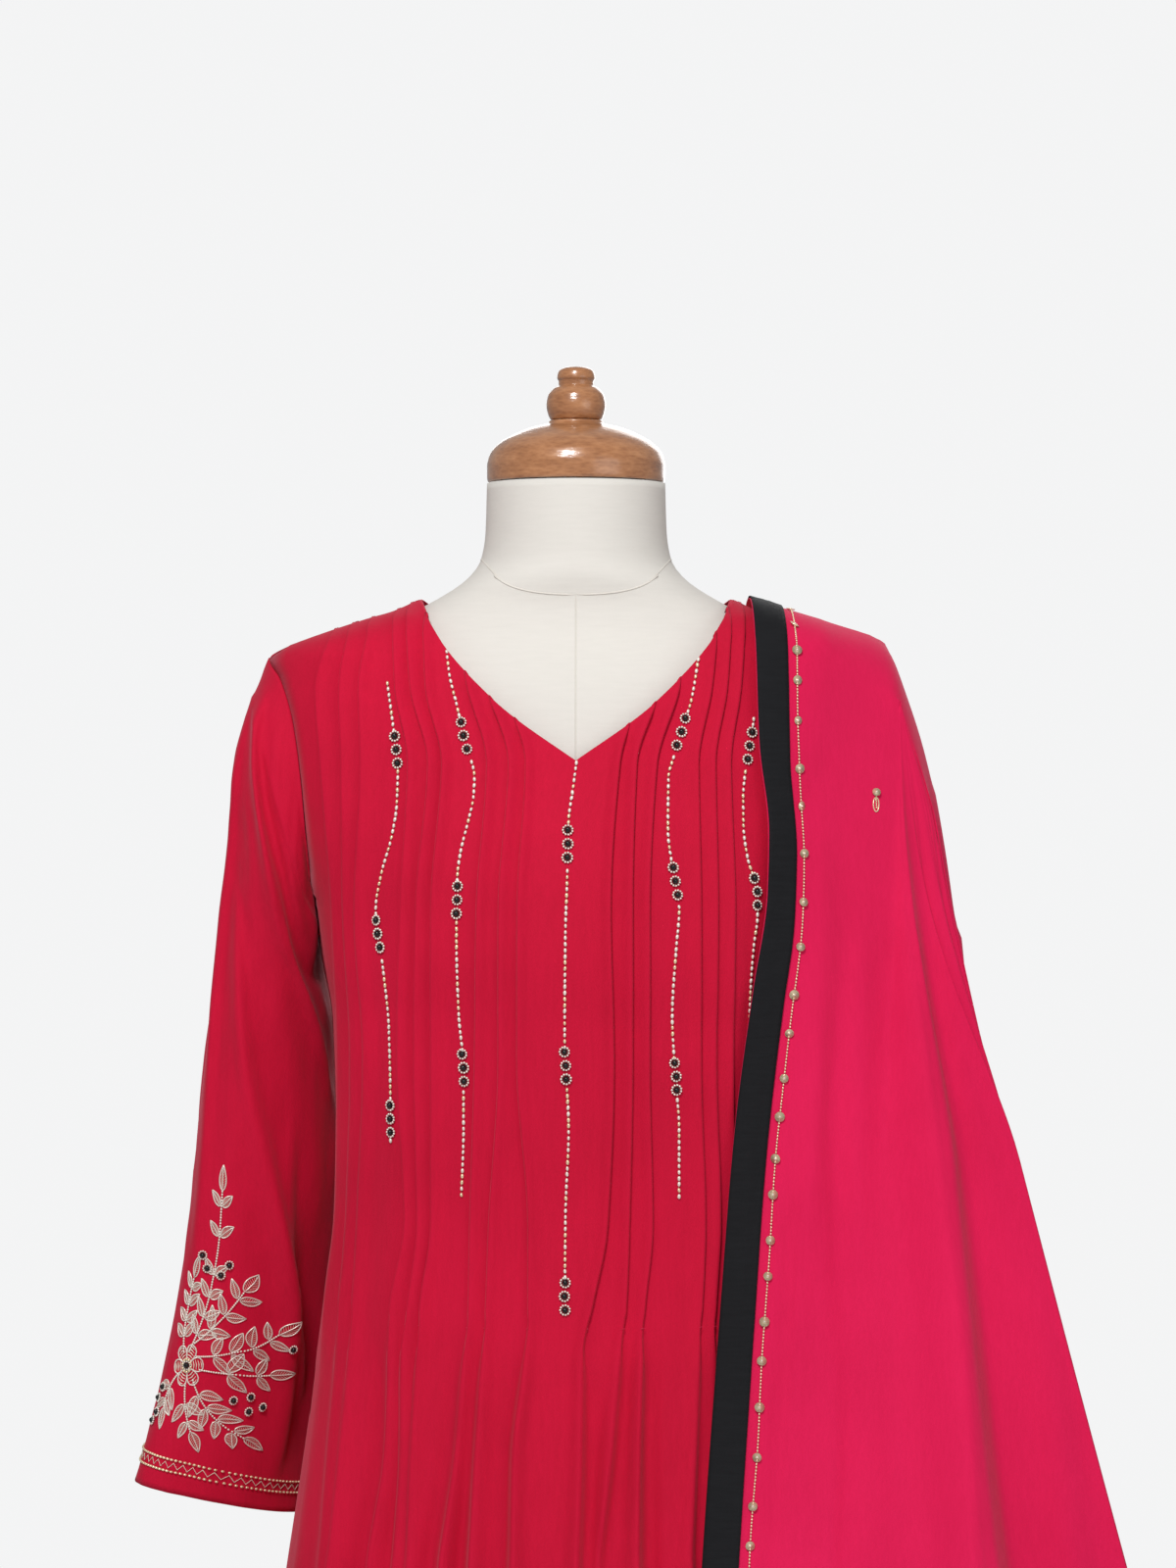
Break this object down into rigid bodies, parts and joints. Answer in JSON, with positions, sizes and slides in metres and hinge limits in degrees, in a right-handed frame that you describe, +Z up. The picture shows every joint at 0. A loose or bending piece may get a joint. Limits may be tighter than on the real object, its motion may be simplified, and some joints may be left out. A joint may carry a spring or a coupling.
{
  "type": "salwar kameez suit on a dress form",
  "caption": "Long pin-tucked kameez, salwar and bordered dupatta in crimson georgette, worn by a limbless linen dress form on a round stand.",
  "frame": {"origin": "centre of the base plate's underside, on the floor", "axes": "+Z up, the front of the suit faces -Y, +X to the wearer's left"},
  "size_m": [0.7902, 0.6783, 1.5816],
  "materials": {
    "crimson_georgette": "fine crepe georgette, soft sheen",
    "dupatta_georgette": "sheer light georgette, soft sheen",
    "black_ribbon": "slubbed matt ribbon",
    "linen": "plain woven linen",
    "varnished_wood": "glossy varnish",
    "steel": "satin black",
    "gold_bead": "metallised glass and plastic beads",
    "black_bead": "polished black beads",
    "metal_thread": "silvery gold thread"
  },
  "bodies": {
    "root": {"form_torso": "linen", "neck_cap": "varnished_wood", "finial": "varnished_wood", "pole": "steel", "base_boss": "steel", "base_plate": "steel", "kameez_front": "crimson_georgette", "kameez_back": "crimson_georgette", "sleeve_right": "crimson_georgette", "sleeve_left": "crimson_georgette", "salwar_belt": "crimson_georgette", "salwar_leg_right": "crimson_georgette", "salwar_leg_left": "crimson_georgette", "dupatta_panel": "dupatta_georgette", "dupatta_border": "black_ribbon"}
  },
  "joints": []
}
